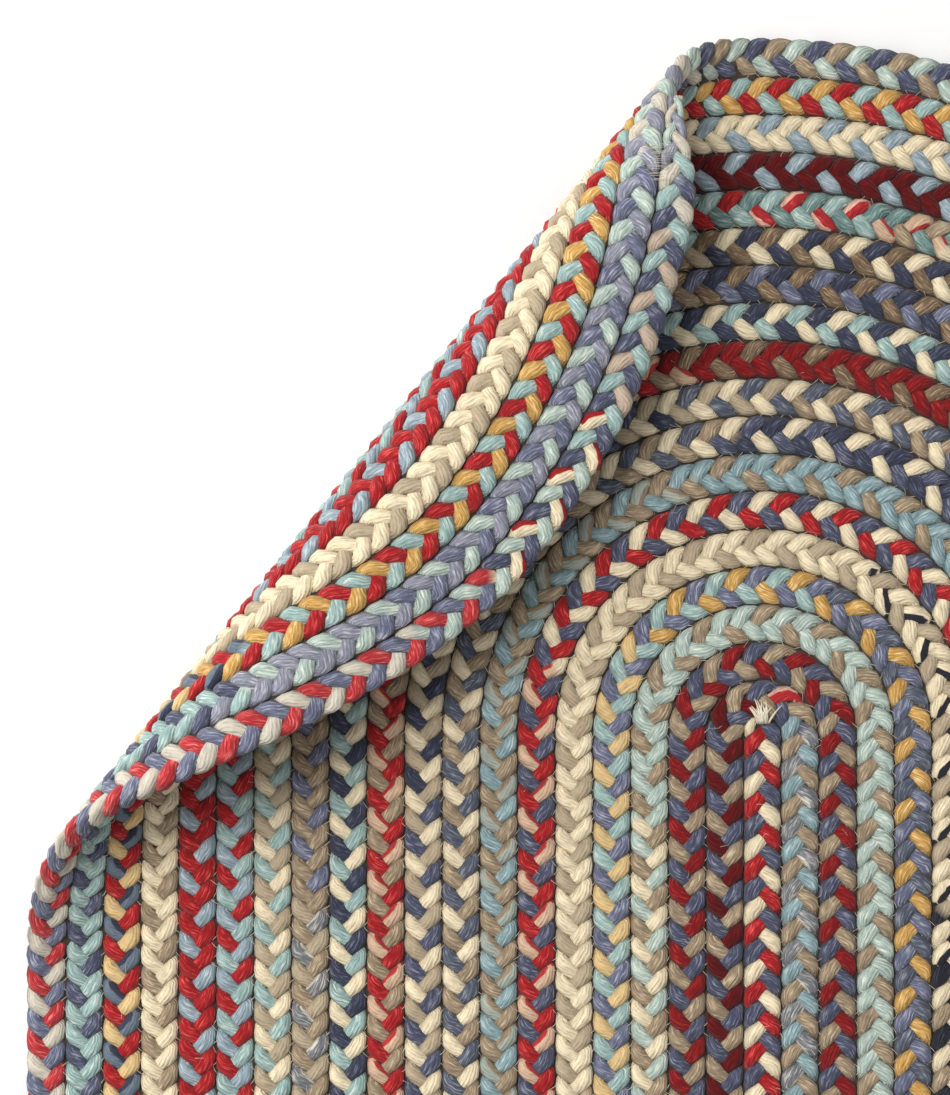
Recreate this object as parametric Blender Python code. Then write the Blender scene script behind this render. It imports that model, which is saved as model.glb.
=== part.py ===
"""Oval braided rug, 762 x 1270 mm, with one corner of its round end folded over.

The rug is one continuous three-strand braid, coiled from a straight centre row
and laced edge to edge. Its solid follows that coil: every turn of the braid is a
raised row, with a groove along each seam, on both faces. The corner is rolled
over along a slanting line, so that its underside shows, and stays a little apart
from the rows beneath it.

Axes: +X runs across the rug, +Y towards its folded end, +Z up. The rug rests on
Z = 0 with its origin at the middle of its bounding rectangle.
"""

import math
from dataclasses import dataclass

import bmesh
import bpy
from mathutils import Vector

# ---------------------------------------------------------------- driving sizes
WIDTH = 0.762
LENGTH = 1.270
THICKNESS = 0.0100
ROWS_LEFT = 19  # rows on the left of the centre row; the right side has one fewer
GROOVE_DEPTH = 0.0028  # how far the seam between two rows lies below their crests

ROWS_RIGHT = ROWS_LEFT - 1
ROW = WIDTH / (ROWS_LEFT + ROWS_RIGHT + 1)
STRAIGHT = LENGTH - (ROWS_RIGHT + 0.5 + ROWS_LEFT) * ROW
HALF_THICKNESS = THICKNESS / 2

SHOULDER = 0.24  # share of a row's width between its seam and its raised top

# The tail: where the braid ends on the outer edge, as an angle about the round
# end's centre, and the number of stations over which it narrows to nothing.
TAIL_END_ANGLE = math.radians(103.7)
TAIL_STATIONS = 5

# The fold. Lengths are in rows; the fold line is square to FOLD_ANGLE.
FOLD_ANGLE = math.radians(141.6)
FOLD_REACH = 12.64 * ROW  # from the round end's centre to the roll's furthest point
ROLL_RADIUS = 1.62 * ROW  # mid-thickness, along most of the fold
ROLL_WIDENING = 0.75 * ROW  # extra radius at the fold's open left end
WIDENING_FROM = -0.3 * ROW  # places along the fold where the widening
WIDENING_TO = -9.2 * ROW  # starts and is complete
FLAP_DROOP = math.radians(11.5)  # how far the flap slopes down towards its edge

# Stations round one lap of the coil, closer together where the fold crosses it.
FOLD_STATIONS_STRAIGHT = 8
FOLD_STATION_STEP = 1.05 * ROW
PLAIN_STATIONS_STRAIGHT = 2
FOLD_STATIONS_TOP = 26  # from the left side to the tail's end
FOLD_STATIONS_PAST_TAIL = 6
PLAIN_STATIONS_TOP = 11
STATIONS_BOTTOM = 24

FLAT_ROWS = 9  # rows whose underside lies flat on the floor all the way round
LIFT_TURN = math.radians(38)  # turn of the roll at which its grooves are full depth
MERGE_DISTANCE = 0.00002

# ------------------------------------------------------------------------ coil


@dataclass(frozen=True)
class Station:
    """A line across the rows at one place on the coil's lap."""

    base: Vector
    outward: Vector
    shift: float  # rows from the base to the middle of row 0

    def point(self, rows_out):
        """Return the plan position that lies this many rows out."""
        return self.base + self.outward * ((rows_out + self.shift) * ROW)


def turned(angle):
    """Return the unit vector at an angle from +X."""
    return Vector((math.cos(angle), math.sin(angle)))


def straight_heights():
    """Return the Y positions of the stations on a straight side, top to bottom."""
    heights = [-FOLD_STATION_STEP * i for i in range(FOLD_STATIONS_STRAIGHT)]
    start = -FOLD_STATION_STEP * FOLD_STATIONS_STRAIGHT
    step = (STRAIGHT + start) / PLAIN_STATIONS_STRAIGHT
    heights += [start - step * i for i in range(PLAIN_STATIONS_STRAIGHT + 1)]
    return heights


def top_angles():
    """Return the angles of the stations on the top arc, from left to right."""
    fold_step = (math.pi - TAIL_END_ANGLE) / FOLD_STATIONS_TOP
    fold_stations = FOLD_STATIONS_TOP + FOLD_STATIONS_PAST_TAIL
    angles = [math.pi - fold_step * i for i in range(fold_stations)]
    plain_start = math.pi - fold_step * fold_stations
    step = plain_start / PLAIN_STATIONS_TOP
    angles += [plain_start - step * i for i in range(PLAIN_STATIONS_TOP)]
    return angles + [0.0]


def lap_stations():
    """Return the stations of one lap and the indexes where its top arc lies.

    The lap climbs the left side, rounds the top, comes down the right side and
    rounds the bottom, whose centre is half a row to the left, so that each lap
    ends one row further out than it began.
    """
    heights = straight_heights()
    stations = [Station(Vector((0, y)), Vector((-1, 0)), 0) for y in heights[:0:-1]]
    top_start = len(stations)
    stations += [Station(Vector((0, 0)), turned(a), 0) for a in top_angles()]
    descent = len(stations) - 1
    stations += [Station(Vector((0, y)), Vector((1, 0)), 0) for y in heights[1:]]
    centre = Vector((-ROW / 2, -STRAIGHT))
    step = math.pi / STATIONS_BOTTOM
    for i in range(1, STATIONS_BOTTOM + 1):
        stations.append(Station(centre, turned(-step * i), 0.5))
    return stations, top_start, descent


# ------------------------------------------------------------------------ fold


def roll_radius(along):
    """Return the roll's mid-thickness radius at a place along the fold."""
    t = (WIDENING_FROM - along) / (WIDENING_FROM - WIDENING_TO)
    t = min(max(t, 0.0), 1.0)
    return ROLL_RADIUS + ROLL_WIDENING * t * t * (3 - 2 * t)


def rolled(flat, height):
    """Carry a point of the flat rug onto the folded one.

    flat is its plan position and height its distance above mid-thickness.
    """
    across = turned(FOLD_ANGLE)
    fold_line = Vector((across.y, -across.x))
    reach = flat.dot(across)
    along = flat.dot(fold_line)
    radius = roll_radius(along)
    start = FOLD_REACH - radius
    turn = min(max((reach - start) / radius, 0.0), math.pi + FLAP_DROOP)
    beyond = reach - start - radius * turn
    out = start + radius * math.sin(turn) + beyond * math.cos(turn) - height * math.sin(turn)
    rise = radius * (1 - math.cos(turn)) + beyond * math.sin(turn) + height * math.cos(turn)
    plan = across * out + fold_line * along
    return Vector((plan.x, plan.y, rise + HALF_THICKNESS))


def lift(flat):
    """Return the depth of the underside's grooves: 0 on the floor, 1 on the roll."""
    across = turned(FOLD_ANGLE)
    radius = roll_radius(flat.dot(Vector((across.y, -across.x))))
    turn = (flat.dot(across) - FOLD_REACH + radius) / radius
    return min(max(turn / LIFT_TURN, 0.0), 1.0)


# ------------------------------------------------------------------------ mesh


class CoilMesh:
    """Builds the flat rug's skin, row by row, in a bmesh."""

    def __init__(self):
        self.mesh = bmesh.new()
        self.stations, self.top_start, self.descent = lap_stations()
        self.tail = self.top_start + FOLD_STATIONS_TOP

    def vertex(self, flat, ridge, top):
        """Add a point of the skin. ridge is 0 in a groove and 1 on a crest."""
        groove = GROOVE_DEPTH * (1 - ridge)
        if top:
            height = HALF_THICKNESS - groove
        else:
            height = groove * lift(flat) - HALF_THICKNESS
        return self.mesh.verts.new((flat.x, flat.y, height))

    def row_width(self, row, index):
        """Return a row's width in rows, which narrows to nothing at the tail."""
        if row < ROWS_LEFT:
            return 1.0
        return min((self.tail - index) / TAIL_STATIONS, 1.0)

    def section(self, row, index):
        """Return a row's section from inner to outer seam, as (flat, ridge)."""
        station = self.stations[index]
        width = self.row_width(row, index)
        inner = row - 0.5
        return [
            (station.point(inner), 0.0),
            (station.point(inner + width * SHOULDER), width),
            (station.point(inner + width * (1 - SHOULDER)), width),
            (station.point(inner + width), 0.0),
        ]

    def add_face(self, points, top):
        """Add one face, given clockwise as seen from above."""
        vertices = [self.vertex(flat, ridge, top) for flat, ridge in points]
        self.mesh.faces.new(vertices[::-1] if top else vertices)

    def add_row(self, row, first, last, top):
        """Add one row's faces between two stations."""
        for index in range(first, last):
            here = self.section(row, index)
            ahead = self.section(row, index + 1)
            for side in range(len(here) - 1):
                quad = [here[side], here[side + 1], ahead[side + 1], ahead[side]]
                self.add_face(quad, top)

    def add_flat_underside(self):
        """Close the underside of the inner rows with one flat face."""
        last = len(self.stations) - 1
        rim = [self.section(FLAT_ROWS, i)[-1] for i in range(last + 1)]
        rim += self.section(FLAT_ROWS, last)[-2:0:-1]
        self.add_face(rim, False)

    def add_start_cap(self):
        """Round off the top of the centre row, where the braid begins."""
        arc = self.stations[self.top_start : self.descent + 1]
        rim = [(station.point(0.5), 0.0) for station in arc]
        shoulder = [(station.point(0.5 - SHOULDER), 1.0) for station in arc]
        self.add_face(shoulder, True)
        for index in range(len(arc) - 1):
            ahead = index + 1
            quad = [shoulder[index], rim[index], rim[ahead], shoulder[ahead]]
            self.add_face(quad, True)

    def add_rim(self, row, first, last):
        """Add the rug's outer wall along one row."""
        for index in range(first, last):
            here = self.section(row, index)[-1][0]
            ahead = self.section(row, index + 1)[-1][0]
            wall = [(here, False), (here, True), (ahead, True), (ahead, False)]
            self.mesh.faces.new([self.vertex(flat, 0.0, top) for flat, top in wall])

    def build(self):
        """Build the closed skin and roll its corner over."""
        last = len(self.stations) - 1
        self.add_row(0, self.descent, last, True)
        self.add_start_cap()
        for row in range(1, ROWS_LEFT):
            self.add_row(row, 0, last, True)
        for row in range(FLAT_ROWS + 1, ROWS_LEFT):
            self.add_row(row, 0, last, False)
        self.add_flat_underside()
        for top in (True, False):
            self.add_row(ROWS_LEFT, 0, self.tail, top)
        self.add_rim(ROWS_RIGHT, self.tail, last)
        self.add_rim(ROWS_LEFT, 0, self.tail)
        bmesh.ops.remove_doubles(self.mesh, verts=self.mesh.verts, dist=MERGE_DISTANCE)
        middle = Vector((-ROW / 2, -(STRAIGHT + ROW / 2) / 2, 0))
        for vertex in self.mesh.verts:
            vertex.co = rolled(vertex.co.xy, vertex.co.z) - middle
        bmesh.ops.triangulate(self.mesh, faces=self.mesh.faces)
        return self.mesh


# -------------------------------------------------------------------- the part


def wool_material():
    """Return the rug's plain material, a mean of its many yarn colours."""
    material = bpy.data.materials.new("braided_wool")
    material.use_nodes = True
    shader = material.node_tree.nodes["Principled BSDF"]
    shader.inputs["Base Color"].default_value = (0.36, 0.30, 0.26, 1.0)
    shader.inputs["Roughness"].default_value = 0.95
    shader.inputs["Metallic"].default_value = 0.0
    return material


def build_rug():
    """Add the rug to the scene."""
    skin = CoilMesh().build()
    mesh = bpy.data.meshes.new("braided_rug")
    skin.to_mesh(mesh)
    skin.free()
    mesh.materials.append(wool_material())
    rug = bpy.data.objects.new("braided_rug", mesh)
    bpy.context.scene.collection.objects.link(rug)


def main():
    """Clear the scene and build the part."""
    for item in list(bpy.data.objects):
        bpy.data.objects.remove(item, do_unlink=True)
    build_rug()


main()
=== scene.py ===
"""Looks of an oval braided wool rug that lies with one corner folded over.

The rug is one three-strand braid, coiled from a straight centre row and laced
edge to edge. Each strand is a tube that really passes over and under the other
two, along the coil and over the fold. A thin sheet inside the braid stands for
the wool that fills it; its dark colour is painted shade, seen in the gaps between
the strands. A pale thread laces the rows, and loose fibres stand off the yarn.

All shapes are worked out on the flat rug and then carried over the fold. The flat
rug has the centre of its round end's arcs at (0, 0) and its straight rows along -Y.
"""

import itertools
import logging
import math
from dataclasses import dataclass, field
from enum import Enum

import bpy
import numpy as np
from bpy.types import ID, Material, NodeSocket, Object
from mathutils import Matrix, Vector


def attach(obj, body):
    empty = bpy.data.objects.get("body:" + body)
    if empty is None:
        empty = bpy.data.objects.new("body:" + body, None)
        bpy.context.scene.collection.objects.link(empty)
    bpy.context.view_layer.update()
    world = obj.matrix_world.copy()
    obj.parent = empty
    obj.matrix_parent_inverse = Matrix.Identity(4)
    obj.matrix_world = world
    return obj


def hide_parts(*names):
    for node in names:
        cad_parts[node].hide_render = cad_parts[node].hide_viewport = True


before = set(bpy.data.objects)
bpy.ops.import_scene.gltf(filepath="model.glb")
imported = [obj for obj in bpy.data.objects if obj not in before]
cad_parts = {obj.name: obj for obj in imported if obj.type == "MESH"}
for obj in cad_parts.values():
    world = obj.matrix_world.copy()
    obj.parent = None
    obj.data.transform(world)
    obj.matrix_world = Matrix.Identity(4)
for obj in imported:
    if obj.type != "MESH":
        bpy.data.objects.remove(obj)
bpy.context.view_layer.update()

NODE = "braided_rug"
SLOT = "braided_wool"
TAU = 2 * math.pi
Array = np.ndarray
STRANDS = 3
ROW_PIXELS = 37.7  # the width of one row of braid in the photo
PROBE = 0.0001  # metres between two places that give a direction

log = logging.getLogger("rug")

# --------------------------------------------------------------------- yarns


def linear(value: int) -> float:
    """Return the linear light, from 0 to 1, of an sRGB value from 0 to 255."""
    share = value / 255
    return share / 12.92 if share <= 0.04045 else ((share + 0.055) / 1.055) ** 2.4


def wool(colour: int) -> list[float]:
    """Return a wool's linear colour from its sRGB colour, such as 0xRRGGBB."""
    return [linear(part) for part in colour.to_bytes(3, "big")]


@dataclass(frozen=True)
class Blend:
    """A spun blend: its main colour, and the colour of its second wool.

    heather is the share of the second wool spun in as fine fibres. ply is the width
    of a whole ply of it, as a share of the strand's: above 0 along the edge of the
    strand that leads in the braid, and below 0 along its other edge.
    """

    main: int
    second: int
    heather: float
    ply: float = 0.0

    def values(self) -> list[float]:
        """Return the main colour, its heather, the second colour and its ply."""
        return [*wool(self.main), self.heather, *wool(self.second), self.ply]


CREAM_WOOL = 0xEFDFBE
TAUPE_WOOL = 0xA08C74
NAVY_WOOL = 0x3A3E52
RED_WOOL = 0xA81A20


class Yarn(Enum):
    """The blends that the rug is braided from.

    The second colours of the dark and saturated blends, such as the reds and blues,
    are lighter and spun in at a larger share: partly their real heather, partly
    painted highlight for the sheen of their fibres.
    """

    CREAM = Blend(CREAM_WOOL, 0xDECAA4, 0.34)
    PALE_TAUPE = Blend(0xC2B195, 0x867460, 0.48)
    TAUPE = Blend(TAUPE_WOOL, 0xCCBA9A, 0.46)
    BROWN = Blend(0x7E6852, 0xBCA484, 0.46)
    GOLD = Blend(0xD0A056, 0xEAD09C, 0.46)
    PALE_GOLD = Blend(0xE6C892, 0xD6A454, 0.44)
    MINT = Blend(0xB4C7BE, 0xDEDCCC, 0.48)
    AQUA = Blend(0x9CBAB7, 0xCED2C6, 0.48)
    SKY = Blend(0x8AA6AC, 0xBEC8C6, 0.46)
    LIGHT_BLUE = Blend(0x94A8B2, 0xC6C8CE, 0.48)
    TEAL = Blend(0x70908E, 0xB4BEB4, 0.48)
    DENIM = Blend(0x565C6C, 0x9CA0A8, 0.46)
    LAVENDER = Blend(0x6A6F88, 0xB0B0BC, 0.48)
    PALE_LAVENDER = Blend(0x8E90A0, 0xC8C6CA, 0.44)
    SLATE = Blend(0x4E526A, 0x9A9CA6, 0.44)
    NAVY = Blend(NAVY_WOOL, 0x747888, 0.40)
    BLACK = Blend(0x22242E, 0x4E5260, 0.38)
    RED = Blend(RED_WOOL, 0xE25E58, 0.41)
    DEEP_RED = Blend(0x821014, 0xB63836, 0.40)
    DARK_RED = Blend(0x5C060A, 0x86141A, 0.40)
    ROSE = Blend(0xBC3238, 0xEA887E, 0.42)
    CREAM_MARL = Blend(CREAM_WOOL, RED_WOOL, 0.06, 0.34)
    ROSE_MARL = Blend(0xBA2C30, 0xF0BEAA, 0.16, -0.34)
    PINK_MARL = Blend(0xD6B498, 0xB83838, 0.20, 0.34)
    NAVY_MARL = Blend(0x72808E, NAVY_WOOL, 0.48, 0.38)
    BLACK_MARL = Blend(CREAM_WOOL, 0x262834, 0.04, 0.50)
    AQUA_MARL = Blend(0xA8B2A8, TAUPE_WOOL, 0.40, 0.40)
    SLATE_MARL = Blend(0x7C7E84, 0xD6D0C2, 0.46, 0.26)
    BEIGE = Blend(0xD6CEBE, 0xB2A696, 0.42)
    PINK_BEIGE = Blend(0xC4B29E, 0xB88278, 0.40)


class Part(Enum):
    """The four legs of one lap of the coil, in the order the braid takes them."""

    LEFT = 0
    TOP = 1
    RIGHT = 2
    BOTTOM = 3


LEFT, TOP, RIGHT, BOTTOM = Part


@dataclass(frozen=True)
class Run:
    """A place on the coil from which the three strands have these yarns.

    yarns names one Yarn for each strand, and share is how far along the leg the run
    starts, from 0 to 1.
    """

    ring: int
    part: Part
    yarns: str
    share: float = 0.0

    def blend(self, strand: int) -> Blend:
        """Return one strand's blend."""
        return Yarn[self.yarns.split()[strand]].value


RUNS = (
    Run(0, RIGHT, "CREAM RED SLATE"),
    Run(1, LEFT, "SLATE DARK_RED TAUPE"),
    Run(1, TOP, "SLATE ROSE_MARL TAUPE", 0.15),
    Run(1, TOP, "SLATE_MARL SKY TAUPE", 0.5),
    Run(2, LEFT, "DEEP_RED SLATE TAUPE"),
    Run(3, LEFT, "MINT CREAM TAUPE"),
    Run(3, LEFT, "MINT MINT TAUPE", 0.8),
    Run(4, LEFT, "AQUA PALE_GOLD LAVENDER"),
    Run(4, TOP, "AQUA GOLD LAVENDER"),
    Run(4, TOP, "DENIM GOLD LAVENDER", 0.55),
    Run(5, LEFT, "CREAM CREAM PALE_TAUPE"),
    Run(5, TOP, "CREAM BLACK_MARL PALE_TAUPE", 0.57),
    Run(5, RIGHT, "CREAM TAUPE BLACK", 0.17),
    Run(6, LEFT, "RED SLATE PINK_MARL"),
    Run(6, TOP, "RED SLATE CREAM", 0.1),
    Run(6, TOP, "RED CREAM_MARL CREAM", 0.8),
    Run(7, LEFT, "SKY AQUA_MARL TAUPE"),
    Run(7, TOP, "SKY SKY TAUPE", 0.4),
    Run(8, LEFT, "CREAM DENIM TAUPE"),
    Run(8, TOP, "CREAM SLATE NAVY", 0.42),
    Run(9, LEFT, "CREAM SLATE PALE_TAUPE"),
    Run(9, LEFT, "CREAM NAVY PALE_TAUPE", 0.84),
    Run(9, TOP, "CREAM DENIM TAUPE", 0.42),
    Run(10, LEFT, "RED TAUPE PINK_MARL"),
    Run(10, TOP, "DEEP_RED BROWN DEEP_RED", 0.35),
    Run(11, LEFT, "NAVY CREAM AQUA"),
    Run(12, LEFT, "SLATE_MARL TAUPE PALE_TAUPE"),
    Run(12, LEFT, "TAUPE TAUPE LAVENDER", 0.8),
    Run(12, TOP, "NAVY BROWN LAVENDER", 0.4),
    Run(13, LEFT, "AQUA CREAM PALE_TAUPE"),
    Run(13, TOP, "NAVY BROWN CREAM", 0.4),
    Run(14, LEFT, "RED LIGHT_BLUE AQUA"),
    Run(14, TOP, "RED TEAL AQUA", 0.35),
    Run(14, TOP, "ROSE_MARL TEAL AQUA", 0.49),
    Run(14, TOP, "PINK_MARL TAUPE TEAL", 0.53),
    Run(14, TOP, "CREAM PALE_TAUPE TEAL", 0.57),
    Run(15, LEFT, "RED LIGHT_BLUE RED"),
    Run(15, TOP, "DARK_RED LIGHT_BLUE DARK_RED", 0.40),
    Run(16, LEFT, "CREAM CREAM TAUPE"),
    Run(16, TOP, "CREAM CREAM PALE_TAUPE", 0.02),
    Run(16, TOP, "CREAM CREAM LIGHT_BLUE", 0.42),
    Run(17, LEFT, "RED NAVY_MARL PALE_GOLD"),
    Run(17, TOP, "RED AQUA GOLD", 0.04),
    Run(18, LEFT, "AQUA SLATE AQUA"),
    Run(18, TOP, "MINT PALE_LAVENDER PALE_LAVENDER", 0.03),
    Run(18, TOP, "MINT LAVENDER PALE_LAVENDER", 0.13),
    Run(18, TOP, "MINT PALE_LAVENDER BEIGE", 0.36),
    Run(18, TOP, "MINT SLATE TAUPE", 0.43),
    Run(19, LEFT, "ROSE LAVENDER BEIGE"),
    Run(19, TOP, "ROSE SLATE MINT", 0.15),
    Run(19, TOP, "CREAM_MARL SLATE MINT", 0.18),
    Run(19, TOP, "PINK_BEIGE SLATE AQUA", 0.25),
    Run(19, TOP, "BEIGE PALE_LAVENDER MINT", 0.36),
)


@dataclass(frozen=True)
class Lead:
    """How many repeats ahead of an even pitch the braid is at a place on the coil."""

    ring: int
    part: Part
    share: float
    repeats: float


LEADS = (
    Lead(0, RIGHT, 0.2, -0.50),
    Lead(1, LEFT, 0.7, -0.10),
    Lead(1, RIGHT, 0.3, 0.15),
    Lead(2, LEFT, 0.8, -0.20),
    Lead(2, RIGHT, 0.2, 0.00),
    Lead(3, LEFT, 0.8, -0.30),
    Lead(3, TOP, 0.3, -0.25),
    Lead(3, RIGHT, 0.1, 0.00),
    Lead(4, LEFT, 0.7, -0.20),
    Lead(4, TOP, 0.3, -0.20),
    Lead(4, RIGHT, 0.1, 0.00),
    Lead(5, LEFT, 0.8, -0.05),
    Lead(5, TOP, 0.5, 0.05),
    Lead(5, TOP, 0.8, -0.10),
    Lead(6, LEFT, 0.7, 0.35),
    Lead(7, LEFT, 0.7, 0.60),
    Lead(7, TOP, 0.6, 0.70),
    Lead(8, LEFT, 0.7, 0.70),
    Lead(8, TOP, 0.7, 0.80),
    Lead(9, LEFT, 0.7, 0.95),
    Lead(9, TOP, 0.5, 0.95),
    Lead(10, LEFT, 0.8, 1.25),
    Lead(10, TOP, 0.6, 1.35),
    Lead(11, LEFT, 0.8, 1.60),
    Lead(11, TOP, 0.6, 1.60),
    Lead(12, LEFT, 0.7, 2.10),
    Lead(12, TOP, 0.5, 2.10),
    Lead(13, LEFT, 0.7, 1.85),
    Lead(13, TOP, 0.6, 1.70),
    Lead(14, LEFT, 0.7, 1.25),
    Lead(14, TOP, 0.6, 1.40),
    Lead(15, LEFT, 0.7, 1.25),
    Lead(15, TOP, 0.3, 1.15),
    Lead(15, TOP, 0.5, 1.25),
    Lead(16, LEFT, 0.7, 0.95),
    Lead(16, TOP, 0.2, 0.75),
    Lead(16, TOP, 0.5, 0.90),
    Lead(17, LEFT, 0.7, 0.80),
    Lead(17, TOP, 0.2, 0.70),
    Lead(17, TOP, 0.35, 0.80),
    Lead(17, TOP, 0.5, 1.15),
    Lead(18, LEFT, 0.7, 1.10),
    Lead(18, TOP, 0.2, 1.35),
    Lead(18, TOP, 0.4, 1.25),
    Lead(19, TOP, 0.1, 1.10),
)

# ---------------------------------------------------------------------- coil


def smooth(share: Array) -> Array:
    """Return shares from 0 to 1, eased at both ends."""
    return share * share * (3 - 2 * share)


@dataclass
class Places:
    """Places on the braid's middle line on the flat rug.

    plan and outward are n x 2 arrays, and width is the braid's width at each
    place, as a share of its full width.
    """

    plan: Array
    outward: Array
    width: Array

    def offset(self, out: Array) -> Array:
        """Return the plan places this far out from the middle line."""
        return self.plan + self.outward * out[:, None]


@dataclass
class Coil:
    """The path of the braid on the flat rug, from the centre row to the tail.

    start_rise is in rows. tail_end is the angle at which the tail ends on the top
    arc, tail_taper the angle over which it narrows, and tail_width its end's width,
    as a share of the braid's.
    """

    width: float = 0.762
    length: float = 1.270
    rings: int = 19
    start_rise: float = 0.62
    tail_end: float = math.radians(103.7)
    tail_taper: float = math.radians(9.0)
    tail_width: float = 0.42
    reach: float = 0.0

    def __post_init__(self) -> None:
        """Lay out the legs, each with its start and length along the braid."""
        self.legs: dict[tuple[int, Part], tuple[float, float]] = {}
        self.row = self.width / (2 * self.rings)
        self.straight = self.length - (2 * self.rings - 0.5) * self.row
        self._add(0, RIGHT, self.straight + self.start_rise * self.row)
        self._add(0, BOTTOM, math.pi * self.row / 2)
        for ring in range(1, self.rings):
            self._add(ring, LEFT, self.straight)
            self._add(ring, TOP, math.pi * ring * self.row)
            self._add(ring, RIGHT, self.straight)
            self._add(ring, BOTTOM, math.pi * (ring + 0.5) * self.row)
        self._add(self.rings, LEFT, self.straight)
        self._add(self.rings, TOP, (math.pi - self.tail_end) * self.rings * self.row)

    def _add(self, ring: int, part: Part, length: float) -> None:
        """Add a leg after the last one."""
        self.legs[ring, part] = self.reach, length
        self.reach += length

    @property
    def last_lap(self) -> float:
        """The distance at which the braid has nothing outside it any more."""
        turn = (math.pi - self.tail_end) * (self.rings - 1) * self.row
        return self.legs[self.rings - 1, TOP][0] + turn

    @property
    def middle(self) -> tuple[float, float, float]:
        """The middle of the flat rug's bounding rectangle."""
        return -self.row / 2, -(self.straight + self.row / 2) / 2, 0.0

    def start_of(self, place: Run | Lead) -> float:
        """Return the distance along the braid at which a run or a lead lies.

        Args:
            place: The run or lead. On the last, shorter top arc, its share is that
                of a whole one.

        Returns:
            The distance from the start of the centre row.
        """
        start, length = self.legs[place.ring, place.part]
        whole = math.pi * place.ring * self.row if place.part is TOP else length
        return start + place.share * whole

    def _on_leg(self, ring: int, part: Part, gone: Array) -> tuple[Array, Array]:
        """Return the plan places and outward directions on one leg.

        Args:
            ring: The leg's ring.
            part: Its part.
            gone: Distances from its start.

        Returns:
            Two n x 2 arrays.
        """
        ones, zeros = np.ones_like(gone), np.zeros_like(gone)
        if part is RIGHT:
            top = self.start_rise * self.row if ring == 0 else 0.0
            plan = np.stack([ones * ring * self.row, top - gone], 1)
            return plan, np.stack([ones, zeros], 1)
        if part is LEFT:
            plan = np.stack([-ones * ring * self.row, gone - self.straight], 1)
            return plan, np.stack([-ones, zeros], 1)
        if part is TOP:
            radius, centre = ring * self.row, (0.0, 0.0)
            angle = math.pi - gone / radius
        else:
            radius = (ring + 0.5) * self.row
            centre = (-self.row / 2, -self.straight)
            angle = -gone / radius
        outward = np.stack([np.cos(angle), np.sin(angle)], 1)
        return np.array(centre) + outward * radius, outward

    def at(self, distance: Array) -> Places:
        """Return the places at these distances along the braid.

        Args:
            distance: Distances in metres, from the start of the centre row.

        Returns:
            The places, with the tail narrowed towards the inner seam.
        """
        plan = np.zeros((len(distance), 2))
        outward = np.zeros((len(distance), 2))
        for (ring, part), (start, length) in self.legs.items():
            low = start if start > 0 else -np.inf
            high = start + length if start + length < self.reach else np.inf
            here = (distance >= low) & (distance < high)
            if here.any():
                plan[here], outward[here] = self._on_leg(ring, part, distance[here] - start)
        left = (self.reach - distance) / (self.rings * self.row * self.tail_taper)
        width = self.tail_width + (1 - self.tail_width) * smooth(np.clip(left, 0, 1))
        plan -= outward * ((1 - width) / 2 * self.row)[:, None]
        return Places(plan, outward, width)


@dataclass
class Rug:
    """The coil, and the roll that carries one corner of it over onto the rest.

    thickness is in metres, and the other lengths are in rows of braid. The fold line
    is square to angle, and the roll's radius grows by widening towards its open end.
    """

    coil: Coil
    thickness: float = 0.0100
    angle: float = math.radians(141.6)
    reach: float = 12.64
    radius: float = 1.62
    widening: float = 0.75
    widening_from: float = -0.3
    widening_to: float = -9.2
    droop: float = math.radians(11.5)

    def carry(self, points: Array) -> Array:
        """Carry points of the flat rug onto the folded one.

        Args:
            points: n x 3 places on the flat rug, with heights from mid-thickness.

        Returns:
            n x 3 places in the frame.
        """
        row = self.coil.row
        across = np.array([math.cos(self.angle), math.sin(self.angle)])
        line = np.array([across[1], -across[0]])
        reach, along = points[:, :2] @ across, points[:, :2] @ line
        height = points[:, 2]
        span = (self.widening_from - self.widening_to) * row
        share = np.clip((self.widening_from * row - along) / span, 0, 1)
        radius = (self.radius + self.widening * smooth(share)) * row
        start = self.reach * row - radius
        turn = np.clip((reach - start) / radius, 0, math.pi + self.droop)
        beyond = reach - start - radius * turn
        sine, cosine = np.sin(turn), np.cos(turn)
        out = start + radius * sine + beyond * cosine - height * sine
        rise = radius * (1 - cosine) + beyond * sine + height * cosine
        plan = out[:, None] * across + along[:, None] * line
        places = np.column_stack([plan, rise + self.thickness / 2])
        return places - np.array(self.coil.middle)


# -------------------------------------------------------------------- meshes


def unit(vectors: Array) -> Array:
    """Return the vectors, each at length 1."""
    return vectors / np.linalg.norm(vectors, axis=-1, keepdims=True)


def wander(
    distance: Array, spacing: float, amount: float, draw: np.random.Generator
) -> Array:
    """Return a smooth random value along the braid.

    Args:
        distance: Distances along the braid.
        spacing: The distance between two turning points.
        amount: The largest value.
        draw: The seeded source of random numbers.

    Returns:
        One value for each distance.
    """
    low, high = distance.min(), distance.max()
    knots = np.arange(low - spacing, high + 2 * spacing, spacing)
    values = draw.uniform(-amount, amount, len(knots))
    gone = (distance - knots[0]) / spacing
    index = np.clip(gone.astype(int), 0, len(knots) - 2)
    share = smooth(gone - index)
    return values[index] * (1 - share) + values[index + 1] * share


def side_angles(sides: int) -> Array:
    """Return the angles of a tube's corners."""
    return TAU * np.arange(sides) / sides


def corner_places(*edges: Array) -> Array:
    """Return the map places of quads' four corners from their four edges.

    Args:
        edges: The places of the left, right, low and high edges.

    Returns:
        Two numbers for each corner, corner after corner.
    """
    left, right, low, high = np.broadcast_arrays(*edges)
    corners = [left, low, right, low, right, high, left, high]
    return np.stack(corners, -1).reshape(-1, 2)


def add_object(name: str, data: ID) -> Object:
    """Put a new object in the scene and return it."""
    made = bpy.data.objects.new(name, data)
    bpy.context.scene.collection.objects.link(made)
    return made


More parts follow.
